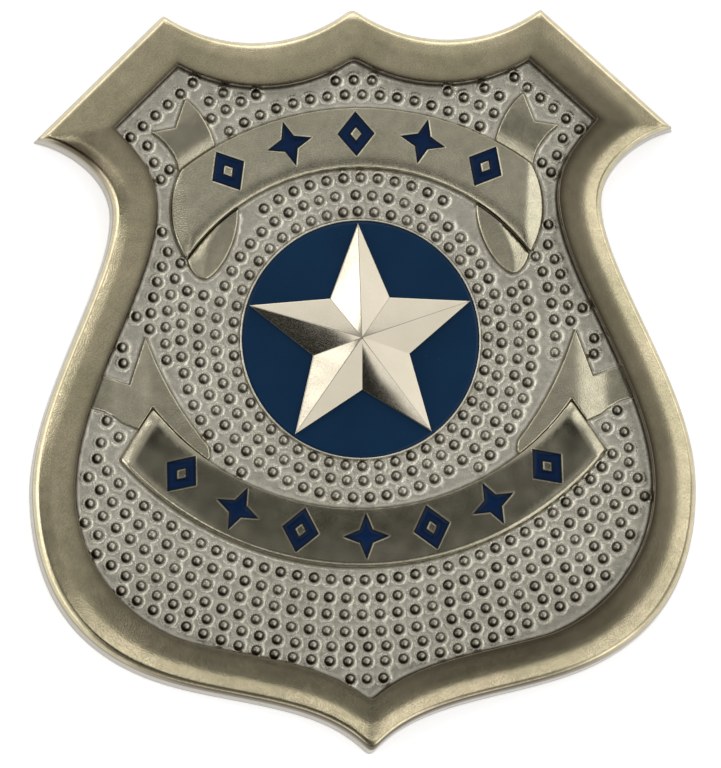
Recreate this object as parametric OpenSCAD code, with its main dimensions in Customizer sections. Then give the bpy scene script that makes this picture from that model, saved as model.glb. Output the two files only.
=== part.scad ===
// Police badge: a shield with a rounded rim, a beaded field, two ribbons and a star on an enamel disc.
// The badge lies on its back: X is to its right, Y towards its peak and Z out of its face.
// The outline is symmetric, so only its right half is drawn, measured from the middle of the disc.

/* [Shield] */
// Height of the middle peak
peak_y = 33.9; // [33:0.1:34.8]
// Depth of the two scallops beside the peak
scallop = 3.2; // [2:0.1:3.6]
// Upper corner, across
corner_x = 19.3; // [18.8:0.1:20.2]
// Upper corner, up
corner_y = 33.5; // [32.8:0.1:34.2]
// Tip of the side horn, across
horn_x = 32.4; // [31.4:0.1:33.4]
// Tip of the side horn, up
horn_y = 21.1; // [20.5:0.1:21.7]
// Waist under the horn, across
waist_x = 24.9; // [24.4:0.1:25.6]
// Waist under the horn, up
waist_y = 13.4; // [12.6:0.1:14.2]
// Widest place of the belly, across
belly_x = 33.8; // [33:0.1:34.6]
// Widest place of the belly, up
belly_y = -15.2; // [-16:0.1:-14.4]
// Shoulder above the tip, across
shoulder_x = 23.6; // [22.8:0.1:24.4]
// Shoulder above the tip, up
shoulder_y = -33.2; // [-33.8:0.1:-32.6]
// Height of the lower tip
tip_y = -42.2; // [-43:0.1:-41.4]

/* [Rim] */
// Width of the rim at the middle peak
rim_peak = 5.1; // [4.6:0.1:5.6]
// Width of the rim at the waist
rim_waist = 4.4; // [4:0.1:4.8]
// Width of the rim at the belly
rim_belly = 4.3; // [3.9:0.1:4.7]
// Width of the rim at the lower tip
rim_tip = 5.2; // [4.8:0.1:5.8]
// Height of the outer edge, where the side wall ends
rim_edge_z = 3.6; // [3.2:0.1:3.8]
// Height of the rounded crown
rim_crown_z = 4.7; // [4.6:0.1:5.2]
// Height of the inner edge
rim_inner_z = 4.45; // [4.2:0.05:4.55]

/* [Field] */
// Height of the field that the beads stand on
field_z = 2.6; // [2.4:0.1:2.8]
// Thickness of the field plate
plate_t = 0.8; // [0.7:0.1:0.9]
// Width of a bead at its foot
bead_d = 1.1; // [0.9:0.05:1.15]
// Height of a bead
bead_h = 0.45; // [0.35:0.05:0.5]

/* [Disc and star] */
// Radius of the enamel disc
disc_r = 12.1; // [11.8:0.1:12.2]
// Thickness of the enamel disc
disc_t = 0.4; // [0.3:0.05:0.5]
// Radius to the tips of the star
star_r = 11.9; // [11.3:0.1:11.9]
// Radius to the inner corners of the star
star_inner_r = 5.2; // [4.6:0.1:5.6]
// Thickness of the star at its edge
star_edge = 0.3; // [0.2:0.05:0.4]
// Height of the star's middle above its edge
star_rise = 1.5; // [1.2:0.1:1.8]

/* [Ribbons] */
// Thickness of both ribbons
ribbon_t = 1.2; // [1.1:0.05:1.4]
// Thickness of the swallow tails
tail_t = 0.8; // [0.7:0.05:0.9]
// Radius of the upper ribbon's top edge
upper_top_r = 29.5; // [29.3:0.1:29.7]
// Radius of the upper ribbon's lower edge
upper_low_r = 21.8; // [21.7:0.1:22]
// Radius of the lower ribbon's upper edge
lower_top_r = 26.6; // [26.4:0.1:26.8]
// Radius of the lower ribbon's lower edge
lower_low_r = 32.8; // [32.6:0.1:32.9]

/* [Hidden] */
UPPER_COUNT = 5;
LOWER_COUNT = 7;

NICKEL = "#8f8a7c";
SILVER = "#c9c8c2";
ENAMEL = "#14305a";
FINE = 120;
GAP = 0.05;
// Length of a cutting shape that has to reach past the badge
AMPLE = 60;

// Columns of an outline row. The turns are angles, and the other numbers after a place are the
// lengths of the curve's handles there.
PEAK = 0;
SCALLOP = 1;
CORNER = 2;
HORN = 3;
HORN_TURN = 4;
HORN_REACH = 5;
WAIST = 6;
WAIST_UP = 7;
WAIST_DOWN = 8;
BELLY = 9;
BELLY_UP = 10;
BELLY_DOWN = 11;
SHOULDER = 12;
SHOULDER_TURN = 13;
SHOULDER_UP = 14;
SHOULDER_DOWN = 15;
TIP = 16;
TIP_TURN = 17;
TIP_REACH = 18;

OUTER = [
    peak_y, scallop, [corner_x, corner_y],
    [horn_x, horn_y], 12, 2.8,
    [waist_x, waist_y], 4.2, 6.9,
    [belly_x, belly_y], 9.7, 10,
    [shoulder_x, shoulder_y], 26, 6.4, 8.5,
    tip_y, 50, 8.1
];
INNER = [
    peak_y - rim_peak, scallop - 0.6, [corner_x - 1.3, corner_y - 5.1],
    [horn_x - 7.7, horn_y + 0.9], 47, 3.3,
    [waist_x - rim_waist, waist_y + 0.7], 3.2, 7.9,
    [belly_x - rim_belly, belly_y], 10.1, 9.1,
    [shoulder_x - 5.9, shoulder_y + 2.4], 14, 4.9, 7.5,
    tip_y + rim_tip, 41, 6
];

// Steps along each stretch of half an outline
ARC_STEPS = 10;
LINE_STEPS = 3;
WAIST_STEPS = 7;
SIDE_STEPS = 10;
BELLY_STEPS = 9;
TIP_STEPS = 8;

function polar(angle) = [cos(angle), sin(angle)];
function mirrored(p) = [-p[0], p[1]];

// Points of a curve from p to s with the handles q and r, without its last point
function curve(p, q, r, s, n) = [
    for (i = [0 : n - 1])
        let (t = i / n, u = 1 - t)
        u * u * u * p + 3 * u * u * t * q + 3 * u * t * t * r + t * t * t * s
];

// Points of an arc from p to q that sags below its chord, without its last point
function sagging_arc(p, q, sag, n) =
    let (
        half = norm(q - p) / 2,
        along = (q - p) / (2 * half),
        up = [-along[1], along[0]],
        radius = (half * half + sag * sag) / (2 * sag),
        centre = (p + q) / 2 + up * (radius - sag),
        spread = asin(half / radius),
        down = atan2(-up[1], -up[0])
    )
    [for (i = [0 : n - 1]) centre + radius * polar(down - spread + 2 * spread * i / n)];

// Right half of an outline, from the peak to the tip
function half_outline(o) =
    let (
        peak = [0, o[PEAK]],
        tip = [0, o[TIP]],
        slope = polar(o[SHOULDER_TURN])
    )
    concat(
        sagging_arc(peak, o[CORNER], o[SCALLOP], ARC_STEPS),
        curve(o[CORNER], o[CORNER], o[HORN], o[HORN], LINE_STEPS),
        curve(
            o[HORN], o[HORN] - o[HORN_REACH] * polar(o[HORN_TURN]),
            o[WAIST] + [0, o[WAIST_UP]], o[WAIST], WAIST_STEPS
        ),
        curve(
            o[WAIST], o[WAIST] - [0, o[WAIST_DOWN]],
            o[BELLY] + [0, o[BELLY_UP]], o[BELLY], SIDE_STEPS
        ),
        curve(
            o[BELLY], o[BELLY] - [0, o[BELLY_DOWN]],
            o[SHOULDER] + o[SHOULDER_UP] * slope, o[SHOULDER], BELLY_STEPS
        ),
        curve(
            o[SHOULDER], o[SHOULDER] - o[SHOULDER_DOWN] * slope,
            tip + o[TIP_REACH] * polar(o[TIP_TURN]), tip, TIP_STEPS
        ),
        [tip]
    );

// The whole outline, clockwise from the peak
function whole_outline(o) =
    let (half = half_outline(o), n = len(half))
    concat(half, [for (i = [n - 2 : -1 : 1]) mirrored(half[i])]);

OUTER_LINE = whole_outline(OUTER);
INNER_LINE = whole_outline(INNER);

// The outline at a fraction of the way from the field's edge, 0, to the badge's outer edge, 1
function ring(f) = [for (i = [0 : len(INNER_LINE) - 1]) INNER_LINE[i] * (1 - f) + OUTER_LINE[i] * f];

// Section of the rim, as fraction across and height, from the foot of the side wall over the crown
FOOT = 1.07;
LEDGE = 0.42;
SKIRT = 0.5;
PLATE_EDGE = 0.33;
RIM_SECTION = [
    [FOOT, 0],
    [1, rim_edge_z],
    [0.97, rim_edge_z + (rim_crown_z - rim_edge_z) * 0.29],
    [0.92, rim_edge_z + (rim_crown_z - rim_edge_z) * 0.46],
    [0.83, rim_edge_z + (rim_crown_z - rim_edge_z) * 0.65],
    [0.74, rim_edge_z + (rim_crown_z - rim_edge_z) * 0.8],
    [0.6, rim_edge_z + (rim_crown_z - rim_edge_z) * 0.92],
    [0.2, rim_crown_z],
    [0.06, rim_crown_z - (rim_crown_z - rim_inner_z) * 0.3],
    [0, rim_inner_z],
    [0, field_z],
    [LEDGE, field_z],
    [SKIRT, 0]
];

// The origin is under the middle of the badge's box
FOOT_LINE = ring(FOOT);
MIDDLE_Y = (max([for (p = FOOT_LINE) p[1]]) + min([for (p = FOOT_LINE) p[1]])) / 2;

module placed() {
    translate([0, -MIDDLE_Y, 0]) children();
}

// Extrudes a flat shape from one height to another
module slab(from_z, to_z) {
    translate([0, 0, from_z]) linear_extrude(to_z - from_z) children();
}

// Solid between rings of points, where the last ring meets the first
module ring_loft(rings) {
    count = len(rings);
    sides = len(rings[0]);
    polyhedron(
        points = [for (r = rings) for (p = r) p],
        faces = [
            for (j = [0 : count - 1])
                for (i = [0 : sides - 1])
                    let (k = (j + 1) % count, next = (i + 1) % sides)
                    [j * sides + i, j * sides + next, k * sides + next, k * sides + i]
        ]
    );
}

module shield_rim() {
    rings = [for (s = RIM_SECTION) [for (p = ring(s[0])) [p[0], p[1], s[1]]]];
    color(NICKEL) placed() ring_loft(rings);
}

// Rows of beads, each an arc of evenly spaced ones round a centre near the middle line. Angles are
// clockwise from straight up, and a row on one side is repeated on the other where both is 1.
ROW_CENTRE = 0;
ROW_RADIUS = 1;
ROW_FROM = 2;
ROW_TO = 3;
ROW_COUNT = 4;
ROW_BOTH = 5;
LOWER_ROWS_AT = [-0.65, 9.3];
// How far some rows were cast off the middle line
ASIDE = [-0.2, 0];
BEAD_ROWS = [
    [[0, 0.1], 13.05, 0.2, 353.7, 48, 0],
    [[-0.2, 0.2], 14.65, 0.3, 352.1, 54, 0],
    [[0, 0], 16.65, -35, 31.9, 12, 0],
    [[-0.2, 0.25], 16.4, 74.7, 286.3, 36, 0],
    [2 * ASIDE, 18, 72.8, 137.7, 13, 1],
    [[0, 0], 19.95, 65.8, 94.9, 7, 1],
    [[0, 0], 21.6, 64.3, 86, 6, 1],
    [ASIDE, 22.85, 60, 60, 1, 1],
    [[0, 0], 23, 83, 83, 1, 1],
    [ASIDE, 24.15, 90.8, 94.6, 2, 1],
    [[0, 0], 25.2, -30.8, 30.5, 16, 0],
    [[0, 0], 26.7, -4, 4, 3, 0],
    [ASIDE, 27.2, 21.2, 32.2, 4, 1],
    [[0, 0], 28.9, 27.6, 31, 2, 1],
    [[0, 9.3], 31.2, 123.2, 127, 2, 1],
    [[0, 9.3], 33, 125.8, 125.8, 1, 1],
    [[0, 9.3], 34.3, 127.6, 127.6, 1, 1],
    [LOWER_ROWS_AT, 33.85, 129.5, 229, 35, 0],
    [LOWER_ROWS_AT, 35.7, 128.9, 230.3, 37, 0],
    [LOWER_ROWS_AT, 37.4, 130, 227, 36, 0],
    [LOWER_ROWS_AT, 39.15, 131.5, 225.5, 36, 0],
    [LOWER_ROWS_AT, 40.7, 137.1, 221.2, 33, 0],
    [LOWER_ROWS_AT, 42.2, 143.6, 215.3, 29, 0],
    [LOWER_ROWS_AT, 43.95, 177.3, 181.7, 3, 0]
];

// Straight rows beside the horn, on both sides, as first bead, last bead and number
HORN_ROWS = [
    [[16.5, 26.7], [23, 21.2], 6],
    [[21.3, 20.3], [20, 16.8], 3],
    [[19.1, 17.8], [19.1, 17.8], 1]
];

function row_step(r) = r[ROW_COUNT] > 1 ? (r[ROW_TO] - r[ROW_FROM]) / (r[ROW_COUNT] - 1) : 0;
ARC_BEADS = [
    for (r = BEAD_ROWS)
        for (i = [0 : r[ROW_COUNT] - 1])
            for (side = [1 : -2 : 1 - 2 * r[ROW_BOTH]])
                let (a = r[ROW_FROM] + i * row_step(r))
                r[ROW_CENTRE] + r[ROW_RADIUS] * [side * sin(a), cos(a)]
];
HORN_BEADS = [
    for (r = HORN_ROWS)
        for (i = [0 : r[2] - 1])
            for (side = [1, -1])
                let (p = r[0] + (r[1] - r[0]) * i / max(r[2] - 1, 1))
                [side * p[0], p[1]]
];
BEADS = concat(ARC_BEADS, HORN_BEADS);

module bead() {
    foot = bead_d / 2;
    ball = (foot * foot + bead_h * bead_h) / (2 * bead_h);
    translate([0, 0, field_z + bead_h - ball]) sphere(r = ball, $fn = 20);
}

module field_plate() {
    color(SILVER) placed() union() {
        slab(field_z - plate_t, field_z) polygon(ring(PLATE_EDGE));
        for (p = BEADS) translate(p) bead();
    }
}

module enamel_disc() {
    soft = 0.12;
    color(ENAMEL) placed() translate([0, 0, field_z]) rotate_extrude($fn = FINE) polygon([
        [0, 0], [disc_r, 0], [disc_r, disc_t - soft], [disc_r - soft, disc_t], [0, disc_t]
    ]);
}

module star() {
    points = 5;
    base = field_z + disc_t;
    sides = 2 * points;
    line = [
        for (i = [0 : sides - 1])
            (i % 2 == 0 ? star_r : star_inner_r) * polar(90 - 180 / points * i)
    ];
    color(SILVER) placed() polyhedron(
        points = concat(
            [for (p = line) [p[0], p[1], base]],
            [for (p = line) [p[0], p[1], base + star_edge]],
            [[0, 0, base], [0, 0, base + star_edge + star_rise]]
        ),
        faces = [
            for (i = [0 : sides - 1])
                let (j = (i + 1) % sides)
                each [
                    [i, j, sides + j, sides + i],
                    [sides + i, sides + j, 2 * sides + 1],
                    [j, i, 2 * sides]
                ]
        ]
    );
}

// Ribbons
RIBBON_Z = field_z + ribbon_t;
TAIL_Z = field_z + tail_t;
EDGE = 0.25;
POCKET = 0.4;
INLAY_T = 0.3;
UPPER_TOP_Y = 23.7 - upper_top_r;
UPPER_LOW_Y = 17.6 - upper_low_r;
LOWER_TOP_Y = lower_top_r - 17.4;
LOWER_LOW_Y = lower_low_r - 23.3;

// Round body that holds a ribbon's outward edge, with a softened top edge
module round_outside(y, r) {
    translate([0, y, 0]) rotate_extrude($fn = 2 * FINE) polygon([
        [0, field_z], [r, field_z], [r, RIBBON_Z - EDGE], [r - EDGE, RIBBON_Z], [0, RIBBON_Z]
    ]);
}

// Round body to cut a ribbon's inward edge, with a softened top edge
module round_inside(y, r) {
    above = RIBBON_Z + 1;
    translate([0, y, 0]) rotate_extrude($fn = 2 * FINE) polygon([
        [0, 0], [r, 0], [r, RIBBON_Z - EDGE], [r + EDGE, RIBBON_Z], [r + EDGE, above], [0, above]
    ]);
}

// Right end of the upper ribbon: its outline is an arc that bulges outward, and its face rolls
// down to the field past a crease
END_MIDDLE = [10.5, 13.4];
END_R = 8.6;
CREASE_TOP = [17.7, 17.6];
CREASE_LOW = [17, 8.4];
CREASE_TURN = atan2(CREASE_TOP[1] - CREASE_LOW[1], CREASE_TOP[0] - CREASE_LOW[0]);
ROLL_R = 2.1;
module at_crease() {
    translate([CREASE_LOW[0], CREASE_LOW[1], RIBBON_Z - ROLL_R]) rotate([0, 0, CREASE_TURN])
        children();
}
module upper_end_cut() {
    inner_x = 14;
    difference() {
        translate([inner_x, -AMPLE, 0]) cube(2 * AMPLE);
        translate(END_MIDDLE) cylinder(r = END_R, h = AMPLE, $fn = FINE);
    }
    difference() {
        at_crease() translate([-AMPLE, -AMPLE, 0]) cube([2 * AMPLE, AMPLE, AMPLE]);
        at_crease() rotate([0, 90, 0]) cylinder(r = ROLL_R, h = 2 * AMPLE, center = true, $fn = FINE);
    }
}

// The curled end that shows below the ribbon: a leaf with a round back, joined to the ribbon's tip
LEAF_TOP = [12.35, 13.3];
LEAF_TIP = [17.5, 8.5];
LEAF_FOOT = [15.6, 6.5];
LEAF_MIDDLE = [14.7, 9.7];
LEAF_TURN = -60;
LEAF_BACK_R = 2.8;
LEAF_RISE = 1.05;
module leaf() {
    line = concat(
        curve(LEAF_TOP, [13.9, 12.4], [16, 10.3], [16.7, 9.1], 7),
        [[17.2, 9.7], [17.75, 9.1]],
        curve(LEAF_TIP, [17.2, 7.4], [16.5, 6.4], LEAF_FOOT, 4),
        curve(LEAF_FOOT, [14, 7.2], [12.1, 10.4], LEAF_TOP, 8)
    );
    intersection() {
        slab(field_z, RIBBON_Z) polygon(line);
        translate([LEAF_MIDDLE[0], LEAF_MIDDLE[1], field_z + LEAF_RISE - LEAF_BACK_R])
            rotate([0, 0, LEAF_TURN]) rotate([0, 90, 0])
                cylinder(r = LEAF_BACK_R, h = 20, center = true, $fn = FINE / 2);
    }
}

// Ornaments: a lozenge frame and a four pointed star, in turn
LOZENGE_W = 3.7;
LOZENGE_H = 4.5;
LOZENGE_STROKE = 0.95;
SPARK_R = 2.25;
SPARK_WAIST = 0.9;
module lozenge(w, h) {
    polygon([[w / 2, 0], [0, h / 2], [-w / 2, 0], [0, -h / 2]]);
}
module ornament(i, grow) {
    if (i % 2 == 1) {
        inner = 1 - 2 * LOZENGE_STROKE * norm([LOZENGE_W, LOZENGE_H]) / (LOZENGE_W * LOZENGE_H);
        difference() {
            lozenge(LOZENGE_W + 2 * grow, LOZENGE_H + 2 * grow);
            lozenge(inner * LOZENGE_W - 2 * grow, inner * LOZENGE_H - 2 * grow);
        }
    } else {
        polygon([
            for (k = [0 : 7])
                (k % 2 == 0 ? SPARK_R + grow : SPARK_WAIST + grow) * polar(45 * k)
        ]);
    }
}

// Places of the ornaments, counted from the left
UPPER_ROW_Y = -5;
UPPER_ROW_R = 26;
UPPER_ROW_STEP = 15.2;
LOWER_ROW_Y = 8.9;
LOWER_ROW_R = 29.1;
LOWER_ROW_STEP = 13.3;
module at_upper(i) {
    turn = (i - (UPPER_COUNT + 1) / 2) * UPPER_ROW_STEP;
    translate([0, UPPER_ROW_Y]) rotate(-turn) translate([0, UPPER_ROW_R]) children();
}
module at_lower(i) {
    turn = (i - (LOWER_COUNT + 1) / 2) * LOWER_ROW_STEP;
    translate([0, LOWER_ROW_Y]) rotate(turn) translate([0, -LOWER_ROW_R]) children();
}

module upper_ribbon() {
    lowest_y = 7.5;
    color(NICKEL) placed() difference() {
        union() {
            difference() {
                round_outside(UPPER_TOP_Y, upper_top_r);
                round_inside(UPPER_LOW_Y, upper_low_r);
                translate([-AMPLE, lowest_y - AMPLE, 0]) cube([2 * AMPLE, AMPLE, AMPLE]);
                for (side = [0, 1]) mirror([side, 0, 0]) upper_end_cut();
            }
            for (side = [0, 1]) mirror([side, 0, 0]) leaf();
        }
        for (i = [1 : UPPER_COUNT])
            slab(RIBBON_Z - POCKET, RIBBON_Z + 1) at_upper(i) ornament(i, GAP);
    }
}

// Slanted right end of the lower ribbon, from its upper to its lower corner
LOWER_END_TOP = [21.4, -6.6];
LOWER_END_LOW = [24.9, -11.8];
LOWER_END_TURN = atan2(LOWER_END_TOP[1] - LOWER_END_LOW[1], LOWER_END_TOP[0] - LOWER_END_LOW[0]);
module beyond_lower_end() {
    translate(LOWER_END_LOW) rotate(LOWER_END_TURN) translate([-AMPLE, -AMPLE])
        square([2 * AMPLE, AMPLE]);
}

// Shallow hollow in each end of the lower ribbon
DISH_X = 21.3;
DISH_Y = -9.9;
DISH_R = 9;
DISH_DEPTH = 0.35;
module lower_ribbon() {
    highest_y = -5;
    color(NICKEL) placed() difference() {
        round_outside(LOWER_LOW_Y, lower_low_r);
        round_inside(LOWER_TOP_Y, lower_top_r);
        translate([-AMPLE, highest_y, 0]) cube([2 * AMPLE, AMPLE, AMPLE]);
        for (side = [0, 1]) mirror([side, 0, 0]) {
            slab(0, AMPLE) beyond_lower_end();
            translate([DISH_X, DISH_Y, RIBBON_Z + DISH_R - DISH_DEPTH]) sphere(r = DISH_R, $fn = FINE);
        }
        for (i = [1 : LOWER_COUNT])
            slab(RIBBON_Z - POCKET, RIBBON_Z + 1) at_lower(i) ornament(i, GAP);
    }
}

// Swallow tail of the upper ribbon, right side
UPPER_SPIKE = [17.3, 25];
UPPER_NOTCH = [18.4, 22];
UPPER_POINT = [20.8, 21.6];
HOLLOW_AT = [17.6, 21.4];
HOLLOW_TURN = 52;
HOLLOW_R = 5;
HOLLOW_DEPTH = 0.3;
module upper_tail() {
    line = concat(
        [UPPER_SPIKE, UPPER_NOTCH],
        curve(UPPER_POINT, [19.6, 20.8], [18.2, 19.2], [18.1, 17.6], 6),
        [[18.1, 17.6], [17, 17]],
        curve([14.1, 19.2], [14.7, 21.8], [15.6, 23.6], UPPER_SPIKE, 6)
    );
    difference() {
        slab(field_z, TAIL_Z) polygon(line);
        translate([0, UPPER_TOP_Y, 0]) cylinder(r = upper_top_r + GAP, h = AMPLE, $fn = 2 * FINE);
        translate([HOLLOW_AT[0], HOLLOW_AT[1], TAIL_Z + HOLLOW_R - HOLLOW_DEPTH])
            rotate([0, 0, HOLLOW_TURN]) rotate([0, 90, 0])
                cylinder(r = HOLLOW_R, h = AMPLE, center = true, $fn = FINE);
    }
}

// Swallow tail of the lower ribbon, right side
LOWER_SPIKE = [22, 0.6];
LOWER_NOTCH = [23.7, -4.2];
TAIL_EDGE = -0.03;
module lower_tail() {
    line = concat(
        [LOWER_SPIKE, LOWER_NOTCH, [27.5, -2.8], [28.5, -6.2]],
        curve([27.4, -6.5], [26, -6.8], [24.8, -7.6], [23.6, -9], 4),
        [[22.3, -9], [18, -12.2], [16, -12.2], [15.7, -11.7], [15.75, -11]],
        curve([15.9, -10.6], [18.4, -7.4], [20.2, -4.4], LOWER_SPIKE, 7)
    );
    difference() {
        intersection() {
            slab(field_z, TAIL_Z) polygon(line);
            slab(field_z, TAIL_Z) polygon(ring(TAIL_EDGE));
        }
        slab(0, AMPLE) difference() {
            translate([0, LOWER_LOW_Y]) circle(r = lower_low_r + GAP, $fn = 2 * FINE);
            translate([0, LOWER_TOP_Y]) circle(r = lower_top_r - GAP, $fn = 2 * FINE);
            translate(GAP * polar(LOWER_END_TURN - 90)) beyond_lower_end();
        }
    }
}

module upper_tail_left() {
    color(NICKEL) placed() mirror([1, 0, 0]) upper_tail();
}
module upper_tail_right() {
    color(NICKEL) placed() upper_tail();
}
module lower_tail_left() {
    color(NICKEL) placed() mirror([1, 0, 0]) lower_tail();
}
module lower_tail_right() {
    color(NICKEL) placed() lower_tail();
}

module upper_inlay(i) {
    floor_z = RIBBON_Z - POCKET;
    color(ENAMEL) placed() slab(floor_z, floor_z + INLAY_T) at_upper(i) ornament(i, 0);
}
module lower_inlay(i) {
    floor_z = RIBBON_Z - POCKET;
    color(ENAMEL) placed() slab(floor_z, floor_z + INLAY_T) at_lower(i) ornament(i, 0);
}

// Pin fastening on the hidden back: a bar with a block at each end and a wire between them
module pin_clasp() {
    back_z = field_z - plate_t;
    bar = [36, 4, 0.5];
    block = [4, 3.2, 1];
    wire_d = 0.8;
    clasp_y = 6;
    block_z = back_z - bar[2] - block[2];
    wire_z = block_z + wire_d / 2 + 0.05;
    color(SILVER) placed() translate([0, clasp_y, 0]) union() {
        translate([-bar[0] / 2, -bar[1] / 2, back_z - bar[2]]) cube(bar);
        for (side = [-1, 1])
            translate([side * (bar[0] - block[0]) / 2 - block[0] / 2, -block[1] / 2, block_z])
                cube([block[0], block[1], block[2] + bar[2] / 2]);
        translate([0, 0, wire_z]) rotate([0, 90, 0])
            cylinder(d = wire_d, h = bar[0] - block[0], center = true, $fn = 24);
    }
}

shield_rim();
field_plate();
enamel_disc();
star();
upper_ribbon();
lower_ribbon();
upper_tail_left();
upper_tail_right();
lower_tail_left();
lower_tail_right();
pin_clasp();
for (i = [1 : UPPER_COUNT])
    upper_inlay(i);
for (i = [1 : LOWER_COUNT])
    lower_inlay(i);
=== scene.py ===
"""Police badge: shield with a rounded rim, beaded field, two ribbons and a star on enamel."""
from math import asin, atan2, cos, pi, radians, sin, sqrt, tan

import bpy
import numpy as np
from mathutils import Matrix, Vector, kdtree, noise
from mathutils.geometry import delaunay_2d_cdt
from numpy.linalg import norm


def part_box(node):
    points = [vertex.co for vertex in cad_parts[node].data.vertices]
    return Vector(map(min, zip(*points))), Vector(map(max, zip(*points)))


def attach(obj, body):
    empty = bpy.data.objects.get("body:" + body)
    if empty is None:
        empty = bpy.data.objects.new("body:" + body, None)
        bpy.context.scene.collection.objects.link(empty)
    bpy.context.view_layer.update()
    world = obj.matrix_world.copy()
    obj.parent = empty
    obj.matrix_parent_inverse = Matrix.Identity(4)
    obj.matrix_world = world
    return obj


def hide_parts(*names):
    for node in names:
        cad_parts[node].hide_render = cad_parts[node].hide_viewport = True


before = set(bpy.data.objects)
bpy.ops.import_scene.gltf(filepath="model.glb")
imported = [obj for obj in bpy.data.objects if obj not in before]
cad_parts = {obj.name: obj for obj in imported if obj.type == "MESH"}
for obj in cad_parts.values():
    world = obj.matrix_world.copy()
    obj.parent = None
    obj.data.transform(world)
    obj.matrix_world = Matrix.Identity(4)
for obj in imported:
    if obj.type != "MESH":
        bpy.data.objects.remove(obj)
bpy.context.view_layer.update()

# Shapes are in millimetres from the middle of the disc, with heights from the table
MM = 0.001
DISC_LOW, DISC_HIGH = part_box("enamel_disc")
MIDDLE = np.array([(DISC_LOW.x + DISC_HIGH.x) / 2, (DISC_LOW.y + DISC_HIGH.y) / 2]) / MM
DISC_R = (DISC_HIGH.x - DISC_LOW.x) / 2 / MM
DISC_Z = DISC_HIGH.z / MM
FIELD_Z = DISC_LOW.z / MM
PLATE_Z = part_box("field_plate")[0].z / MM
RIBBON_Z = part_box("upper_ribbon")[1].z / MM
TAIL_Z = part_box("lower_tail_left")[1].z / MM
POCKET_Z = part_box("upper_inlay_1")[0].z / MM
UPPER_INLAYS = sorted(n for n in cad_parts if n.startswith("upper_inlay"))
LOWER_INLAYS = sorted(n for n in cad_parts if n.startswith("lower_inlay"))


# Plane geometry

# Points measured at a time
CHUNK = 2000
# Largest share of a side that a rounded corner takes
CORNER_SHARE = 0.4


def polar(degrees):
    turn = radians(degrees)
    return np.array([cos(turn), sin(turn)])


def cross(u, v):
    """Cross product of plane vectors."""
    return u[..., 0] * v[..., 1] - u[..., 1] * v[..., 0]


def bezier(p, q, r, s, count):
    """Points of a curve from p to s with the handles q and r, without its last point."""
    t = (np.arange(count) / count)[:, None]
    u = 1 - t
    return u**3 * p + 3 * u**2 * t * q + 3 * u * t**2 * r + t**3 * s


def sagging_arc(p, q, sag, count):
    """Points of an arc from p to q that sags below its chord, without its last point."""
    half = norm(q - p) / 2
    along = (q - p) / (2 * half)
    up = np.array([-along[1], along[0]])
    radius = (half**2 + sag**2) / (2 * sag)
    centre = (p + q) / 2 + up * (radius - sag)
    half_turn = asin(half / radius)
    down = atan2(-up[1], -up[0])
    turn = down - half_turn + 2 * half_turn * np.arange(count) / count
    return centre + radius * np.stack([np.cos(turn), np.sin(turn)], 1)


def segments(loops):
    """Starts and ends of all the sides of some closed outlines."""
    return np.concatenate(loops), np.concatenate([np.roll(l, -1, 0) for l in loops])


def distance(points, loops):
    """Distance of each point to the nearest side of some closed outlines."""
    start, end = segments(loops)
    side = end - start
    length = np.maximum((side**2).sum(1), 1e-12)
    out = np.empty(len(points))
    for i in range(0, len(points), CHUNK):
        away = points[i:i + CHUNK, None, :] - start
        t = np.clip((away * side).sum(2) / length, 0, 1)
        out[i:i + CHUNK] = np.sqrt(((away - t[..., None] * side) ** 2).sum(2).min(1))
    return out


def inside(points, loops):
    """Whether each point is within some closed outlines, where a hole is outside."""
    start, end = segments(loops)
    out = np.empty(len(points), bool)
    for i in range(0, len(points), CHUNK):
        x, y = points[i:i + CHUNK, 0, None], points[i:i + CHUNK, 1, None]
        crosses = (start[:, 1] > y) != (end[:, 1] > y)
        rise = np.where(end[:, 1] == start[:, 1], 1, end[:, 1] - start[:, 1])
        at = start[:, 0] + (y - start[:, 1]) * (end[:, 0] - start[:, 0]) / rise
        out[i:i + CHUNK] = (crosses & (x < at)).sum(1) % 2 == 1
    return out


def inwardness(points, loops):
    """Distance of each point to the outlines, negative outside them."""
    return np.where(inside(points, loops), 1, -1) * distance(points, loops)


def smooth(value, low, high):
    """Soft step from 0 at low to 1 at high."""
    t = np.clip((value - low) / (high - low), 0, 1)
    return t * t * (3 - 2 * t)


def hump(value, middle, half_width):
    """Soft bump of height 1 around a middle value."""
    t = np.clip(np.abs(value - middle) / half_width, 0, 1)
    return (1 - t * t) ** 2


def drop(inward, width, depth):
    """How far a rounded edge of some width and depth lies below the face, at a distance inward."""
    t = np.clip(inward / width, 0, 1)
    return depth * (1 - np.sqrt(np.maximum(1 - (1 - t) ** 2, 0)))


def ramp(value, soft):
    """The value above zero and else zero, with a soft turn between."""
    return soft * np.logaddexp(0, value / soft)


def ripple(points, size, seed):
    """Soft noise between about -1 and 1, with features of a given size."""
    return np.array([noise.noise((x / size, y / size, seed)) for x, y in points])


def sides_at(loop):
    """Vectors along the two sides that meet at each corner."""
    return loop - np.roll(loop, 1, 0), np.roll(loop, -1, 0) - loop


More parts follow.
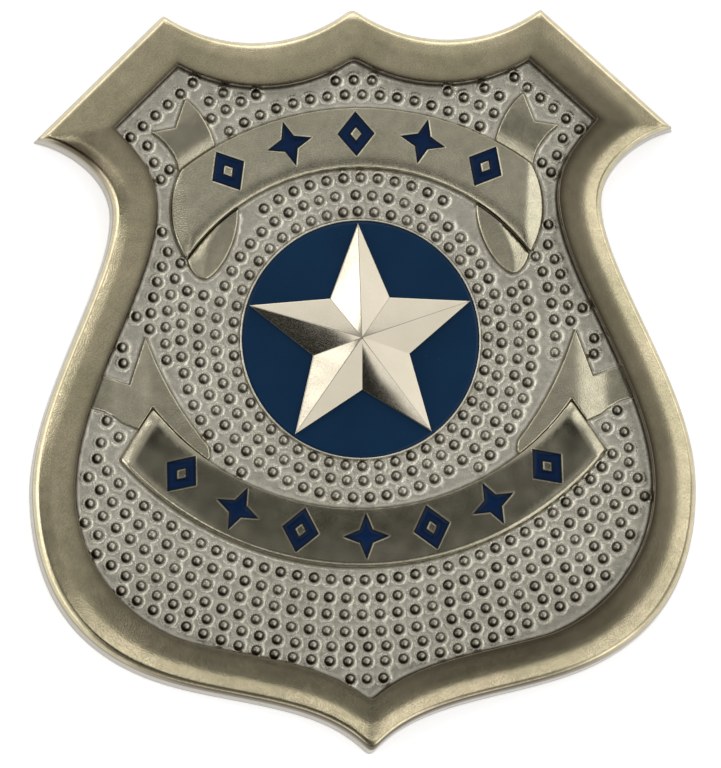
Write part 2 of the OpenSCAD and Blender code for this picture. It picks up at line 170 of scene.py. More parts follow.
def rounded(loop, step, radius=0.0, corner=25):
    """Outline with even steps, whose sharp corners are kept, or rounded by a radius."""
    came, goes = sides_at(loop)
    turn = np.degrees(np.arctan2(cross(came, goes), (came * goes).sum(1)))
    count = len(loop)
    sharp = np.abs(turn) > corner
    points = []
    for i in range(count):
        p, q = loop[i], loop[(i + 1) % count]
        side = norm(q - p)
        cut = min(radius, side * CORNER_SHARE)
        cut_p, cut_q = cut * sharp[i], cut * sharp[(i + 1) % count]
        u = (q - p) / side
        a, b = p + cut_p * u, q - cut_q * u
        if cut_p:
            last = norm(p - loop[i - 1])
            back = p - min(radius, last * CORNER_SHARE) * (p - loop[i - 1]) / last
            for t in (0.25, 0.5, 0.75):
                points.append((1 - t) ** 2 * back + 2 * t * (1 - t) * p + t * t * a)
        pieces = max(1, round(norm(b - a) / step))
        points += [a + (b - a) * k / pieces for k in range(pieces + (1 if cut_q else 0))]
    return np.array(points)


def open_sides(faces):
    """Directed sides of some faces that no other of these faces shares."""
    sides = {}
    for corners in faces:
        for a, b in zip(corners, corners[1:] + corners[:1]):
            if (b, a) in sides:
                del sides[b, a]
            else:
                sides[a, b] = True
    return list(sides)


def chains(sides):
    """Closed runs of corners along directed sides."""
    follow = dict(sides)
    runs = []
    while follow:
        start, at = next(iter(follow.items()))
        run = [start]
        del follow[start]
        while at != start:
            run.append(at)
            at = follow.pop(at)
        runs.append(run)
    return runs


def footprint(node):
    """Outlines of a node's flat underside."""
    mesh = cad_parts[node].data
    place = np.array([v.co for v in mesh.vertices]) / MM
    low = place[:, 2].min() + 0.01
    spot = [tuple(np.round(p[:2], 3)) for p in place]
    under = [face.vertices for face in mesh.polygons if all(place[v, 2] < low for v in face.vertices)]
    runs = chains(open_sides([[spot[v] for v in corners] for corners in under]))
    return sorted([np.array(run) - MIDDLE for run in runs], key=len, reverse=True)


def mirrored(loop):
    """An outline on the other side of the middle line."""
    return (loop * [-1, 1])[::-1]


def whole(half):
    """Closed outline from a half that starts and ends on the middle line."""
    return np.concatenate([half, mirrored(half)[1:-1]])


# Pieces

# Share of its offset that a moved point keeps from the outline
OFFSET_SHARE = 0.96
# Share of a step that grid points keep from all others
GRID_SHARE = 0.5
# Painted shade on the side walls of every relief piece
WALL_SHADE = 0.9


def new_object(name, data):
    made = bpy.data.objects.new(name, data)
    bpy.context.scene.collection.objects.link(made)
    return made


def piece(name, vertices, faces, material, *nodes, sharp=40, tone=None):
    """Mesh in millimetres that replaces its CAD nodes."""
    mesh = bpy.data.meshes.new(name)
    place = np.array(vertices, float)
    place[:, :2] += MIDDLE
    mesh.from_pydata((place * MM).tolist(), [], faces)
    mesh.validate()
    mesh.shade_smooth()
    mesh.set_sharp_from_angle(angle=radians(sharp))
    if tone is not None:
        shade = mesh.attributes.new("tone", "FLOAT", "POINT")
        shade.data.foreach_set("value", tone.astype(np.float32))
    mesh.materials.append(material)
    made = new_object(name, mesh)
    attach(made, "root")
    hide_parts(*nodes)


def tree_of(points):
    """Search tree over some points."""
    tree = kdtree.KDTree(len(points))
    for i, (x, y) in enumerate(points):
        tree.insert((x, y, 0), i)
    tree.balance()
    return tree


def triangles(points, loops):
    """Triangles over the points that lie within the outlines."""
    where = [Vector(p) for p in points]
    edges = []
    for loop in loops:
        first, count = len(where), len(loop)
        where += [Vector(p) for p in loop]
        edges += [(first + i, first + (i + 1) % count) for i in range(count)]
    found, _, faces, *_ = delaunay_2d_cdt(where, edges, [], 0, 1e-5)
    found = np.array([tuple(p) for p in found])
    faces = np.array([f for f in faces if len(f) == 3])
    middle = found[faces].mean(1)
    return found, faces[inside(middle, loops)]


def normals(loop):
    """Sum of the normals of the two sides that meet at each corner."""
    came, goes = (side / norm(side, axis=1)[:, None] for side in sides_at(loop))
    along = came + goes
    return np.stack([along[:, 1], -along[:, 0]], 1)


def offset(loop, out):
    """Points of an outline moved outward, or inward where out is negative, away from its corners."""
    normal = normals(loop)
    normal /= np.maximum(norm(normal, axis=1)[:, None], 1e-9)
    moved = [loop + way * abs(out) * normal for way in (1, -1)]
    least = OFFSET_SHARE * abs(out)
    moved = [m[(inside(m, [loop]) == (out < 0)) & (distance(m, [loop]) > least)] for m in moved]
    return [m for m in moved if len(m)]


NO_DOTS = np.zeros((0, 2))


def relief(name, loops, height, base, step, material, *nodes, insets=(), dots=NO_DOTS, sharp=40,
           tone=None, pockets=(), pocket_z=0.0):
    """Closed piece over outlines: height gives its top, pockets are sunk in it, its foot is flat."""
    outlines = [*loops, *pockets]
    extra = [dots]
    for inset in insets:
        for loop in loops:
            extra += offset(loop, -inset) + offset(loop, inset)
    extra = np.concatenate(extra)
    extra = extra[inside(extra, outlines)]
    low, high = np.min(loops[0], 0), np.max(loops[0], 0)
    rows = np.arange(low[1], high[1], step * 0.866)
    columns = np.arange(low[0], high[0], step)
    grid = np.array([(x + (j % 2) * step / 2, y) for j, y in enumerate(rows) for x in columns])
    grid = grid[inside(grid, outlines)]
    tree = tree_of(np.concatenate([extra] + outlines))
    grid = grid[[tree.find((x, y, 0))[2] > GRID_SHARE * step for x, y in grid]]
    points, faces = triangles(np.concatenate([extra, grid]), outlines)
    used = np.unique(faces)
    index = np.full(len(points), -1)
    index[used] = np.arange(len(used))
    points, faces = points[used], index[faces]
    a, b, c = (points[faces[:, k]] for k in range(3))
    turned = cross(b - a, c - a) < 0
    faces[turned] = faces[turned][:, ::-1]
    sides = open_sides(faces.tolist())
    edge = sorted({v for side in sides for v in side})
    under = {v: len(points) + i for i, v in enumerate(edge)}
    foot = np.column_stack([points[edge], np.full(len(edge), base)])
    if pockets:
        foot[distance(points[edge], loops) > 0.01, 2] = pocket_z
    walls = [(b, a, under[a], under[b]) for a, b in sides]
    where = {tuple(np.round(points[v], 4)): under[v] for v in edge}
    floor = []
    runs = [(points[run], foot[under[run[0]] - len(points), 2] == base) for run in chains(sides)]
    for group, faces_up in ((loops, False), (pockets, True)):
        if not group:
            continue
        spots, flat = triangles(NO_DOTS, [run for run, low_down in runs if low_down != faces_up])
        for face in flat:
            corners = [where[tuple(np.round(spots[v], 4))] for v in face]
            p, q, r = (spots[v] for v in face)
            up = cross(q - p, r - p) > 0
            floor.append(tuple(corners if up == faces_up else corners[::-1]))
    top = np.column_stack([points, height(points)])
    shade = tone(points) if tone else np.zeros(len(points))
    # The side walls take the painted shade
    shade = np.concatenate([shade, np.full(len(edge), WALL_SHADE)])
    piece(name, np.concatenate([top, foot]), faces.tolist() + walls + floor, material, *nodes,
          sharp=sharp, tone=shade)


def tube(rows, count):
    """Faces of a closed tube between rows of vertices."""
    faces = []
    for j in range(rows):
        k = (j + 1) % rows
        for i in range(count):
            n = (i + 1) % count
            faces.append((j * count + i, j * count + n, k * count + n, k * count + i))
    return faces


# Materials

# Metals: sizes of clouds, patches and dents, depths of grain and dents
CLOUD_SIZE, PATCH_SIZE, DENT_SIZE, GRAIN_DEPTH, DENT_DEPTH = 6, 1.3, 0.55, 0.03, 0.08
# Enamel: sizes of clouds and specks, depth of its waves
ENAMEL_CLOUD, SPECK_SIZE, WAVE_DEPTH = 5, 0.35, 0.03


def put(socket, value):
    """Link a socket to an output, or give it a value."""
    if isinstance(value, bpy.types.NodeSocket):
        socket.id_data.links.new(value, socket)
    else:
        socket.default_value = value


def links(owner, shader="Principled BSDF"):
    """Inputs of a material's or world's shader, and a function that adds a node and fills its inputs."""
    owner.use_nodes = True
    tree = owner.node_tree

    def add(kind, settings=None, **inputs):
        made = tree.nodes.new("ShaderNode" + kind)
        for key, value in (settings or {}).items():
            setattr(made, key, value)
        for key, value in inputs.items():
            put(made.inputs[key.replace("_", " ")], value)
        return made

    return tree.nodes[shader].inputs, add


def mix(add, amount, first, second):
    """Colour between two, by an amount."""
    made = add("Mix", {"data_type": "RGBA"}, Factor=amount)
    for socket, value in ((made.inputs[6], first), (made.inputs[7], second)):
        put(socket, (*value, 1) if isinstance(value, tuple) else value)
    return made.outputs[2]


def spread(add, value, low, high, to_low=0.0, to_high=1.0, kind="LINEAR"):
    """A value moved from one range to another."""
    made = add("MapRange", {"interpolation_type": kind}, Value=value, From_Min=low, From_Max=high,
               To_Min=to_low, To_Max=to_high)
    return made.outputs["Result"]


def grains(add, where, size, detail):
    """Noise with features of a size in millimetres."""
    return add("TexNoise", Vector=where, Scale=1 / (size * MM), Detail=detail).outputs["Fac"]


def new_material(name, slot):
    """Material, its shader's inputs, a function that adds nodes, and the place and tone as outputs."""
    material = bpy.data.materials.new(name)
    material["slot"] = slot
    shader, add = links(material)
    where = add("TexCoord").outputs["Object"]
    tone = add("Attribute", {"attribute_name": "tone"}).outputs["Fac"]
    return material, shader, add, where, tone


def cast_metal(name, slot, colour, worn, dark, rough, grain, grain_size, mottle, hammer=0.0):
    """Mottled metal with a fine grain, dark where its tone marks patina and painted shade."""
    material, shader, add, where, tone = new_material(name, slot)
    cloud = grains(add, where, CLOUD_SIZE, 3.0)
    patch = grains(add, where, PATCH_SIZE, 4.0)
    sand = grains(add, where, grain_size, 2.0)
    base = mix(add, spread(add, cloud, 0.35, 0.65), colour, worn)
    base = mix(add, spread(add, patch, 0.3, 0.7, 0, mottle), base, dark)
    base = mix(add, spread(add, sand, 0.35, 0.7, 0, mottle * 1.4), base, dark)
    # Patina and painted shade, where the tone marks them
    base = mix(add, tone, base, dark)
    put(shader["Base Color"], base)
    put(shader["Metallic"], 1.0)
    put(shader["Roughness"], spread(add, sand, 0.3, 0.7, rough - 0.05, rough + 0.07))
    fine = add("Bump", Height=sand, Strength=grain, Distance=GRAIN_DEPTH * MM)
    if hammer:
        dents = add("TexVoronoi", {"feature": "SMOOTH_F1"}, Vector=where, Scale=1 / (DENT_SIZE * MM))
        fine = add("Bump", Height=dents.outputs["Distance"], Strength=hammer, Distance=DENT_DEPTH * MM,
                   Normal=fine.outputs["Normal"])
    put(shader["Normal"], fine.outputs["Normal"])
    return material


NICKEL = cast_metal(
    "antique_nickel", "antique_nickel", (0.56, 0.505, 0.325), (0.655, 0.572, 0.382), (0.09, 0.07, 0.045),
    rough=0.17, grain=0.45, grain_size=0.12, mottle=0.2
)
RIBBON = cast_metal(
    "ribbon_nickel", "antique_nickel", (0.61, 0.57, 0.415), (0.685, 0.63, 0.47), (0.075, 0.07, 0.05),
    rough=0.20, grain=0.45, grain_size=0.12, mottle=0.18
)
FIELD = cast_metal(
    "bright_silver", "bright_silver", (0.75, 0.71, 0.585), (0.85, 0.81, 0.675), (0.045, 0.036, 0.024),
    rough=0.30, grain=0.15, grain_size=0.14, mottle=0.2, hammer=0.3
)
STAR = cast_metal(
    "satin_silver", "satin_silver", (0.50, 0.455, 0.36), (0.535, 0.485, 0.39), (0.30, 0.24, 0.15),
    rough=0.13, grain=0.015, grain_size=0.13, mottle=0.03
)
PIN = cast_metal(
    "pin_steel", "satin_silver", (0.62, 0.61, 0.58), (0.68, 0.67, 0.64), (0.25, 0.23, 0.2),
    rough=0.32, grain=0.2, grain_size=0.15, mottle=0.2
)


def enamel(name, colour, light):
    """Glossy enamel with faint clouds and specks, darker where its tone marks painted shade."""
    material, shader, add, where, tone = new_material(name, "navy_enamel")
    cloud = grains(add, where, ENAMEL_CLOUD, 3.0)
    speck = grains(add, where, SPECK_SIZE, 1.0)
    base = mix(add, spread(add, cloud, 0.3, 0.7), colour, light)
    # Painted shade, where the tone marks it
    base = mix(add, spread(add, tone, 0, 1, 0, 0.8), base, (0.001, 0.006, 0.016))
    base = mix(add, spread(add, speck, 0.76, 0.82, 0, 0.3), base, (0.06, 0.1, 0.16))
    put(shader["Base Color"], base)
    put(shader["Roughness"], spread(add, speck, 0.3, 0.7, 0.16, 0.22))
    put(shader["Specular IOR Level"], 0.14)
    wave = add("Bump", Height=cloud, Strength=0.3, Distance=WAVE_DEPTH * MM)
    put(shader["Normal"], wave.outputs["Normal"])
    return material


ENAMEL = enamel("navy_enamel", (0.0032, 0.0225, 0.058), (0.0046, 0.027, 0.069))
INLAY = enamel("inlay_enamel", (0.002, 0.012, 0.045), (0.003, 0.018, 0.064))


# Shield outline

# Places and curve handles of half the outline, from the peak to the tip
PEAK_Y, SCALLOP, CORNER = 33.9, 3.2, np.array([19.3, 33.5])
HORN, WAIST = np.array([32.4, 21.1]), np.array([24.9, 13.4])
BELLY, SHOULDER, TIP_Y = np.array([33.8, -15.2]), np.array([23.6, -33.2]), -42.2
OUTER = dict(
    peak=PEAK_Y, scallop=SCALLOP, corner=CORNER, horn=HORN, horn_turn=12, horn_reach=2.8,
    waist=WAIST, waist_up=4.2, waist_down=6.9, belly=BELLY, belly_up=9.7, belly_down=10,
    shoulder=SHOULDER, shoulder_turn=26, shoulder_up=6.4, shoulder_down=8.5,
    tip=TIP_Y, tip_turn=50, tip_reach=8.1,
)
INNER = dict(
    peak=PEAK_Y - 5.1, scallop=SCALLOP - 0.6, corner=CORNER - [1.3, 5.1],
    horn=HORN + [-7.7, 0.9], horn_turn=47, horn_reach=3.3,
    waist=WAIST + [-4.4, 0.7], waist_up=3.2, waist_down=7.9,
    belly=BELLY - [4.3, 0], belly_up=10.1, belly_down=9.1,
    shoulder=SHOULDER + [-5.9, 2.4], shoulder_turn=14, shoulder_up=4.9, shoulder_down=7.5,
    tip=TIP_Y + 5.2, tip_turn=41, tip_reach=6,
)


# Points along each part of half an outline
SCALLOP_COUNT, SLANT_COUNT, HORN_COUNT, FLANK_COUNT, BELLY_COUNT, TIP_COUNT = 60, 50, 36, 72, 64, 64


def half_outline(o):
    """Right half of an outline, from the peak to the tip."""
    up = np.array([0, 1])
    peak, tip = np.array([0, o["peak"]]), np.array([0, o["tip"]])
    slope = polar(o["shoulder_turn"])
    return np.concatenate([
        sagging_arc(peak, o["corner"], o["scallop"], SCALLOP_COUNT),
        bezier(o["corner"], o["corner"], o["horn"], o["horn"], SLANT_COUNT),
        bezier(o["horn"], o["horn"] - o["horn_reach"] * polar(o["horn_turn"]),
               o["waist"] + o["waist_up"] * up, o["waist"], HORN_COUNT),
        bezier(o["waist"], o["waist"] - o["waist_down"] * up,
               o["belly"] + o["belly_up"] * up, o["belly"], FLANK_COUNT),
        bezier(o["belly"], o["belly"] - o["belly_down"] * up,
               o["shoulder"] + o["shoulder_up"] * slope, o["shoulder"], BELLY_COUNT),
        bezier(o["shoulder"], o["shoulder"] - o["shoulder_down"] * slope,
               tip + o["tip_reach"] * polar(o["tip_turn"]), tip, TIP_COUNT),
        [tip],
    ])


OUTER_LINE, INNER_LINE = whole(half_outline(OUTER)), whole(half_outline(INNER))


def ring(f):
    """The outline a fraction f of the way from the field's edge to the outer edge."""
    return INNER_LINE * (1 - f) + OUTER_LINE * f


def eased(line, rounds):
    """Closed line whose corners are rounded a little by averaging."""
    for _ in range(rounds):
        line = line / 2 + (np.roll(line, 1, 0) + np.roll(line, -1, 0)) / 4
    return line


# Rim

# Fractions of the rim's width: feet of its side wall and its skirt, ends of its ledge and of the plate
FOOT, SKIRT, LEDGE, PLATE_EDGE = 1.07, 0.5, 0.42, 0.33
# The side wall: fraction of the width with the height, and near the edge with the depth below it
WALL_LOW = [(FOOT, 0.0), (FOOT - 0.003, 0.12), (FOOT - 0.035, 1.8)]
WALL_HIGH = [(1.022, 0.35), (1.012, 0.2), (1.004, 0.08)]
RIM_CROWN, RIM_WIDTH = 4.7, 4.4
# Slope of the rim's top in degrees at fractions of its width, from the outer edge inward
RIM_SLOPES = [
    (1.0, 78), (0.98, 62), (0.955, 52), (0.93, 45), (0.9, 38), (0.872, 25), (0.855, 16),
    (0.835, 14), (0.75, 13), (0.66, 12.5), (0.61, 11), (0.57, 8), (0.53, 6), (0.45, 5), (0.3, 4),
    (0.2, 3.5), (0.1, 3), (0.05, 1), (0.03, -10), (0.015, -40), (0.0, -75),
]
# Stretches of the top, with their numbers of lines
RIM_LINES = [
    (0, 0.04, 7), (0.04, 0.2, 7), (0.2, 0.66, 11), (0.66, 0.92, 13), (0.92, 0.985, 9), (0.985, 1, 6)
]
# Rounds that soften the corners, at the edges and added along the crown
RIM_EASE, RIM_CROWN_EASE = 5, 30
RIM_WAVE, RIM_WAVE_SIZE = 0.012, 5.0
# Patina and painted shade in the groove; painted shade on the right side, at the inner wall's foot, on
# the
# low edge and under the left horn: tone, and fractions of the width between which it begins or ends
RIM_GROOVE_PATINA_AND_SHADE, GROOVE_RAMP = 0.5, (0.0, 0.28)
RIGHT_SIDE_SHADE, RIGHT_SIDE_RAMP = 0.45, (0.36, 0.72)
INNER_SHADE, INNER_RAMP = 0.8, (0.01, 0.05)
LOW_EDGE_SHADE, LINE_RAMP = 0.95, (0.93, 0.96)
HORN_SHADE, HORN_RAMP = 0.95, (0.42, 0.74)
# Painted shade on the low and the high wall, and what the low edge adds to the latter
LOW_WALL_SHADE, WALL_TOP, HIGH_WALL_SHADE, EDGE_SHADE, EDGE_END = 0.35, 3.2, 0.62, 0.36, 1.015


def rim_top():
    """Section over the rim's top, as fraction across and height."""
    where, slope = np.array(RIM_SLOPES)[::-1].T
    fine = np.unique(np.concatenate([np.linspace(*stretch) for stretch in RIM_LINES]))
    middle = (fine[1:] + fine[:-1]) / 2
    fall = np.tan(np.radians(np.interp(middle, where, slope))) * np.diff(fine) * RIM_WIDTH
    z = np.concatenate([[0], -np.cumsum(fall)])
    z += RIM_CROWN - z.max()
    return list(zip(fine[::-1], z[::-1]))


def make_rim():
    top = rim_top()
    edge_z = top[0][1]
    section = [(f, z, 0) for f, z in WALL_LOW] + [(f, edge_z - below, 0) for f, below in WALL_HIGH]
    section += [(f, z, 1) for f, z in top]
    section += [(0.0, FIELD_Z, 0), (LEDGE, FIELD_Z, 0), (SKIRT, 0.0, 0)]
    rings = []
    for f, z, on_top in section:
        rounds = RIM_EASE + int(RIM_CROWN_EASE * hump(f, 0.55, 0.5)) * on_top
        line = eased(ring(f), rounds)
        rings.append(np.column_stack([line, np.full(len(line), z)]))
    count = len(rings[0])
    points = np.concatenate(rings)
    x, y, z = points.T
    high = z > edge_z - 0.01
    z[high] -= RIM_WAVE * (1 + ripple(points[high, :2], RIM_WAVE_SIZE, 3.0))
    fraction = np.repeat([s[0] for s in section], count)
    out = OUTER_LINE - INNER_LINE
    out /= norm(out, axis=1)[:, None]
    rightward, downward = (np.tile(np.clip(way, 0, 1), len(section)) for way in (out[:, 0], -out[:, 1]))
    low_edge = smooth(downward, 0.1, 0.6)
    # Patina and painted shade in the groove; painted shade on the right side, at the inner wall's foot,
    # along the low edge and under the left horn
    dark = RIM_GROOVE_PATINA_AND_SHADE * (1 - smooth(fraction, *GROOVE_RAMP)) ** 2
    dark += RIGHT_SIDE_SHADE * rightward * (1 - smooth(fraction, *RIGHT_SIDE_RAMP))
    dark = np.clip(dark + INNER_SHADE * (1 - smooth(fraction, *INNER_RAMP)), 0, 0.95)
    # Painted shade on the rim's side walls, more where they face down
    dark[(z < WALL_TOP) & (fraction > 0.9)] = LOW_WALL_SHADE
    dark += LOW_EDGE_SHADE * low_edge * smooth(fraction, *LINE_RAMP)
    under_horn = smooth(-x, 24.2, 27.5) * smooth(y, 12, 16) * (1 - smooth(y, 20.4, 21.4))
    dark += HORN_SHADE * under_horn * smooth(fraction, *HORN_RAMP)
    wall = fraction > 1.003
    dark[wall] = HIGH_WALL_SHADE + EDGE_SHADE * (low_edge * (fraction < EDGE_END))[wall]
    dark = np.minimum(dark, 1)
    piece("rim", points, tube(len(rings), count), NICKEL, "shield_rim", sharp=35, tone=dark)


# Beads

# Rows of beads: middle, radius, first and last angle clockwise from up, number, both sides
LOWER_ROWS_AT = (-0.65, 9.3)
BEAD_ROWS = [
    ((0, 0.1), 13.05, 0.2, 353.7, 48, 0),
    ((-0.2, 0.2), 14.65, 0.3, 352.1, 54, 0),
    ((0, 0), 16.65, -35, 31.9, 12, 0),
    ((-0.2, 0.25), 16.4, 74.7, 286.3, 36, 0),
    ((-0.4, 0), 18, 72.8, 137.7, 13, 1),
    ((0, 0), 19.95, 65.8, 94.9, 7, 1),
    ((0, 0), 21.6, 64.3, 86, 6, 1),
    ((-0.2, 0), 22.85, 60, 60, 1, 1),
    ((0, 0), 23, 83, 83, 1, 1),
    ((-0.2, 0), 24.15, 90.8, 94.6, 2, 1),
    ((0, 0), 25.2, -30.8, 30.5, 16, 0),
    ((0, 0), 26.7, -4, 4, 3, 0),
    ((-0.2, 0), 27.2, 21.2, 32.2, 4, 1),
    ((0, 0), 28.9, 27.6, 31, 2, 1),
    ((0, 9.3), 31.2, 123.2, 127, 2, 1),
    ((0, 9.3), 33, 125.8, 125.8, 1, 1),
    ((0, 9.3), 34.3, 127.6, 127.6, 1, 1),
    (LOWER_ROWS_AT, 33.85, 129.5, 229, 35, 0),
    (LOWER_ROWS_AT, 35.7, 128.9, 230.3, 37, 0),
    (LOWER_ROWS_AT, 37.4, 130, 227, 36, 0),
    (LOWER_ROWS_AT, 39.15, 131.5, 225.5, 36, 0),
    (LOWER_ROWS_AT, 40.7, 137.1, 221.2, 33, 0),
    (LOWER_ROWS_AT, 42.2, 143.6, 215.3, 29, 0),
    (LOWER_ROWS_AT, 43.95, 177.3, 181.7, 3, 0),
]
# Straight rows near the horns on both sides: first and last place, number
HORN_ROWS = [
    ((16.5, 26.7), (23, 21.2), 6),
    ((21.3, 20.3), (20, 16.8), 3),
    ((19.1, 17.8), (19.1, 17.8), 1),
]
BEAD_R, BEAD_H = 0.52, 0.45
BEAD_BALL = (BEAD_R**2 + BEAD_H**2) / (2 * BEAD_H)
HALO_R, HALO_HALF, HALO_H = 0.7, 0.12, 0.1


def bead_places():
    places = []
    for (x, y), radius, first, last, count, both in BEAD_ROWS:
        for angle in np.radians(np.linspace(first, last, count)):
            for side in (1, -1)[:1 + both]:
                places.append((x + side * radius * sin(angle), y + radius * cos(angle)))
    for first, last, count in HORN_ROWS:
        for t in np.linspace(0, 1, count):
            x, y = np.array(first) * (1 - t) + np.array(last) * t
            places += [(x, y), (-x, y)]
    return np.array(places)


BEADS = bead_places()


def nearest_bead(points):
    """Distance of each point to the nearest bead's middle, and that bead's number."""
    tree = tree_of(BEADS)
    found = np.array([tree.find((x, y, 0))[1:] for x, y in points])
    return found[:, 1], found[:, 0].astype(int)


def bead_height(r):
    """Height of a bead and its halo over the field, by distance from its middle."""
    dome = np.sqrt(np.maximum(BEAD_BALL**2 - r**2, 0)) - (BEAD_BALL - BEAD_H)
    return np.where(r < BEAD_R, np.maximum(dome, 0), 0) + HALO_H * hump(r, HALO_R, HALO_HALF)


# Side on which each bead's painted shade is darker
SHADED_SIDE = 195
# Darkening of the field's low part, and from where down
LOW_DARKENING, LOW_DARKENING_FROM = 0.13, (20, 28)
# Rings of points over a bead and its halo: radius, number
BEAD_RINGS = [(0.06, 5), (0.13, 8), (0.24, 10), (0.34, 13)]
BEAD_RINGS += [(r, 14) for r in (0.42, 0.475, 0.515, 0.555, 0.62, 0.7, 0.78, 0.86)]


def bead_dots():
    """Points over each bead and its halo, in rings."""
    dots = [BEADS]
    for r, count in BEAD_RINGS:
        around = np.array([polar(360 * k / count + 40 * r) for k in range(count)]) * r
        spots = (BEADS[:, None, :] + around).reshape(-1, 2)
        own = np.repeat(np.arange(len(BEADS)), count)
        dots.append(spots[nearest_bead(spots)[1] == own])
    return np.concatenate(dots)


# Field

TAILS = [row + "_tail_" + side for row in ("upper", "lower") for side in ("left", "right")]
FEET = {n: footprint(n) for n in ("upper_ribbon", *TAILS[:2], "lower_ribbon", *TAILS[2:])}
# Raised line round the disc: distance from the disc and height over the field
BEZEL = [
    (0.04, -0.02), (0.04, 0.38), (0.07, 0.44), (0.13, 0.47),
    (0.2, 0.44), (0.25, 0.34), (0.28, 0.15), (0.29, -0.02),
]
# Wrinkles between the beads: height, size, and size and share of the finer ones
WRINKLE, WRINKLE_SIZE, FINE_SIZE, FINE_SHARE = 0.03, 1.0, 0.5, 0.5
# Raised hem along the rim and the ribbons: distance, half width, heights and room for beads
HEM_AT, HEM_HALF, RIM_HEM, FOOT_HEM, HEM_FREE = 0.22, 0.14, 0.05, 0.06, 0.6
RIM_HEM_LINES, FOOT_HEM_LINES, HEM_STEP = (0.08, 0.22, 0.38), (0.1, 0.22, 0.36), 0.3
# Patina and painted shade in the groove along the rim, the ribbons and the disc: widths, softness and
# tone
GROOVE_WIDTHS, GROOVE_SOFT, GROOVE_PATINA_AND_SHADE = (0.2, 0.1, 0.4), 0.1, 0.7
# Least and most patina and painted shade on each bead, at random, and the seed of their order
BEAD_TONES, BEAD_SEED = (0.7, 1.0), 4
FIELD_STEP, FIELD_GAP = 0.42, 0.07


def make_field():
    edge = rounded(ring(PLATE_EDGE)[::2], 0.6)
    seam = ring(0.0)[::2]
    feet = [loops[0] for loops in FEET.values()]
    store = {}

    def parts(points):
        """Distances from the rim, the ribbons, the disc and the nearest bead, and that bead."""
        from_feet = np.full(len(points), 9.0)
        for foot in feet:
            middle, half = (foot.min(0) + foot.max(0)) / 2, (foot.max(0) - foot.min(0)) / 2
            near = (np.abs(points - middle) < half + 1).all(1)
            from_feet[near] = np.minimum(from_feet[near], -inwardness(points[near], [foot]))
        from_disc = norm(points, axis=1) - DISC_R
        return inwardness(points, [seam]), from_feet, from_disc, *nearest_bead(points)

    def height(points):
        store["parts"] = from_rim, from_feet, from_disc, r, _ = parts(points)
        clear = smooth(np.minimum(np.minimum(from_rim, from_feet), from_disc), 0.05, 0.35)
        waves = ripple(points, WRINKLE_SIZE, 1.0) + FINE_SHARE * ripple(points, FINE_SIZE, 2.0)
        z = FIELD_Z + clear * WRINKLE * waves + bead_height(r) * (r < 1)
        hems = RIM_HEM * hump(from_rim, HEM_AT, HEM_HALF) + FOOT_HEM * hump(from_feet, HEM_AT, HEM_HALF)
        return z + hems * (r > HEM_FREE)

    def tone(points):
        *edges, r, which = store["parts"]
        some = np.random.default_rng(BEAD_SEED).uniform(*BEAD_TONES, len(BEADS))[which]
        # Patina and painted shade: a dark ring round each bead and a darker middle, both darker on one
        # side
        away = (points - BEADS[which]) / np.maximum(r, 1e-6)[:, None]
        shaded = 0.5 + 0.5 * away @ polar(SHADED_SIDE)
        outside = (0.8 + 0.2 * shaded) * smooth(r, 0.22, 0.38) * (1 - smooth(r, 0.53, 0.6))
        middle = (0.25 + 0.55 * shaded) * smooth(r, 0.04, 0.16) * (1 - smooth(r, 0.26, 0.4))
        # Patina and painted shade in the grooves along the rim, the ribbons and the disc
        groove = sum(smooth(width - edge, 0, GROOVE_SOFT) for width, edge in zip(GROOVE_WIDTHS, edges))
        # The field gets darker towards the bottom
        low = LOW_DARKENING * smooth(-points[:, 1], *LOW_DARKENING_FROM)
        return np.clip((outside + middle) * some + GROOVE_PATINA_AND_SHADE * groove + low, 0, 1)

    hems = []
    for foot in feet:
        loop = rounded(foot, HEM_STEP)
        hems.append(loop)
        for out in FOOT_HEM_LINES:
            hems += offset(loop, out)
    for inset in RIM_HEM_LINES:
        hems += offset(rounded(seam, HEM_STEP), -inset)
    dots = np.concatenate([bead_dots()] + hems)
    dots = thinned(dots[inside(dots, [edge])], FIELD_GAP)
    relief("field", [edge], height, PLATE_Z, FIELD_STEP, FIELD, "field_plate",
           dots=dots, sharp=60, tone=tone)


def thinned(points, gap):
    """Points of which none is closer to an earlier one than a gap."""
    cell = {}
    kept = []
    for p in points:
        key = (int(p[0] // gap), int(p[1] // gap))
        around = [(key[0] + i, key[1] + j) for i in (-1, 0, 1) for j in (-1, 0, 1)]
        near = [q for other in around for q in cell.get(other, ())]
        if all((p[0] - q[0]) ** 2 + (p[1] - q[1]) ** 2 >= gap * gap for q in near):
            cell.setdefault(key, []).append(p)
            kept.append(p)
    return np.array(kept)


# Disc and star

STAR_R, STAR_INNER_R, STAR_EDGE, STAR_RISE, STAR_BULGE = 11.9, 5.2, 0.3, 1.5, 1.15
# One face of the lower right arm is fuller: directions of its ridges, and its swell
FULL_RIDGES, FULL_SWELL = (270, 306), 0.14
# Reach that softens the ridges, and the rows of points along them
RIDGE_SOFT, RIDGE_ROWS, RIDGE_STEP, RIDGE_GAP = 0.02, (0, -0.03, 0.03, -0.07, 0.07), 0.15, 0.028


def make_bezel():
    turns = np.arange(0, 360, 1.5)
    points = [(*(polar(a) * (DISC_R + out)), FIELD_Z + up) for out, up in BEZEL for a in turns]
    piece("bezel", points, tube(len(BEZEL), len(turns)), FIELD, "field_plate", sharp=60)


def make_disc():
    edge = np.array([polar(a) for a in np.arange(0, 360, 1.0)]) * DISC_R

    def height(points):
        inward = DISC_R - norm(points, axis=1)
        return DISC_Z - 0.1 * (1 - smooth(inward, 0, 0.25))

    relief("disc", [edge], height, FIELD_Z, 0.8, ENAMEL, "enamel_disc", insets=(0.08, 0.16, 0.25, 0.4))


